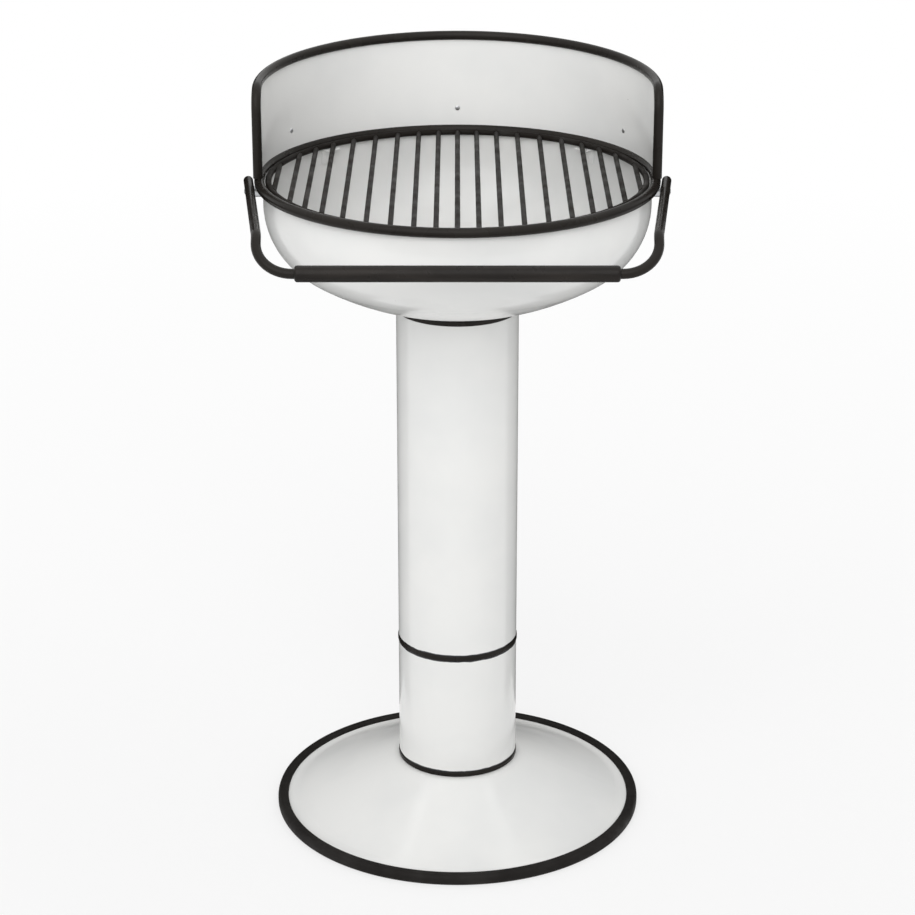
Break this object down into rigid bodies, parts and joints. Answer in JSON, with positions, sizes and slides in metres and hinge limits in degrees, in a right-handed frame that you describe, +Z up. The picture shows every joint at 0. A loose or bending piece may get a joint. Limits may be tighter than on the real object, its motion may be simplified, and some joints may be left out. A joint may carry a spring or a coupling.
{
  "type": "kettle grill",
  "caption": "Open charcoal grill on a round pillar and base, with a fire bowl, half-round windscreen, lift-out grates, ash pan, turning draught sleeve and bent front handle.",
  "frame": {"origin": "the pillar's axis at the floor, in the middle of the floor ring's underside", "axes": "+Z up along the pillar, -Y towards the handle, +Y towards the windscreen, +X to the right"},
  "size_m": [0.4922, 0.5058, 0.9219],
  "materials": {
    "enamel_white": "gloss vitreous enamel",
    "enamel_black": "gloss vitreous enamel",
    "rubber_black": "matte moulded rubber",
    "phenolic_black": "satin phenolic",
    "zinc_steel": "bright zinc plate",
    "galvanised_steel": "galvanised",
    "gasket": "woven glass-fibre seal",
    "heat_scaled_steel": "bare steel dulled by fire"
  },
  "bodies": {
    "base": {"floor_ring": "rubber_black", "base_plate": "enamel_white", "socket_tube": "enamel_white", "socket_bolts": "zinc_steel", "socket_nuts": "zinc_steel", "bearing_ring": "enamel_black", "support_ring": "enamel_black", "sleeve_stop_pin": "zinc_steel"},
    "draught_sleeve": {"draught_sleeve": "enamel_white", "draught_knob": "phenolic_black", "draught_knob_stud": "zinc_steel"},
    "ash_pan": {"ash_pan": "galvanised_steel", "ash_pan_handle": "galvanised_steel"},
    "pillar": {"column_tube": "enamel_white", "column_flange": "enamel_white", "bowl_collar": "enamel_black", "bowl_seal": "gasket", "fire_bowl": "enamel_white", "bowl_bolts": "zinc_steel", "bowl_nuts": "zinc_steel", "grate_rests": "enamel_white", "windscreen_hoop": "enamel_black", "windscreen_sheet": "enamel_white", "windscreen_clips": "enamel_white", "windscreen_rivets": "zinc_steel", "handle_rod": "enamel_black", "handle_grip": "phenolic_black", "handle_spacers": "zinc_steel", "handle_bolts": "zinc_steel", "handle_nuts": "zinc_steel"},
    "cooking_grate": {"cooking_grate": "enamel_black"},
    "fire_grate": {"fire_grate": "heat_scaled_steel"}
  },
  "joints": [
    {"name": "pillar_lift", "type": "slide", "parent": "base", "child": "pillar", "axis": [0, 0, 1], "range_m": [0, 0.3]},
    {"name": "draught_turn", "type": "hinge", "parent": "base", "child": "draught_sleeve", "pos_m": [0, 0, 0.14], "axis": [0, 0, 1], "range_deg": [0, 20]},
    {"name": "ash_pan_lift", "type": "slide", "parent": "base", "child": "ash_pan", "axis": [0, 0, 1], "range_m": [0, 0.21]},
    {"name": "cooking_grate_lift", "type": "slide", "parent": "pillar", "child": "cooking_grate", "axis": [0, 0, 1], "range_m": [0, 0.15]},
    {"name": "fire_grate_lift", "type": "slide", "parent": "pillar", "child": "fire_grate", "axis": [0, 0, 1], "range_m": [0, 0.1]}
  ]
}
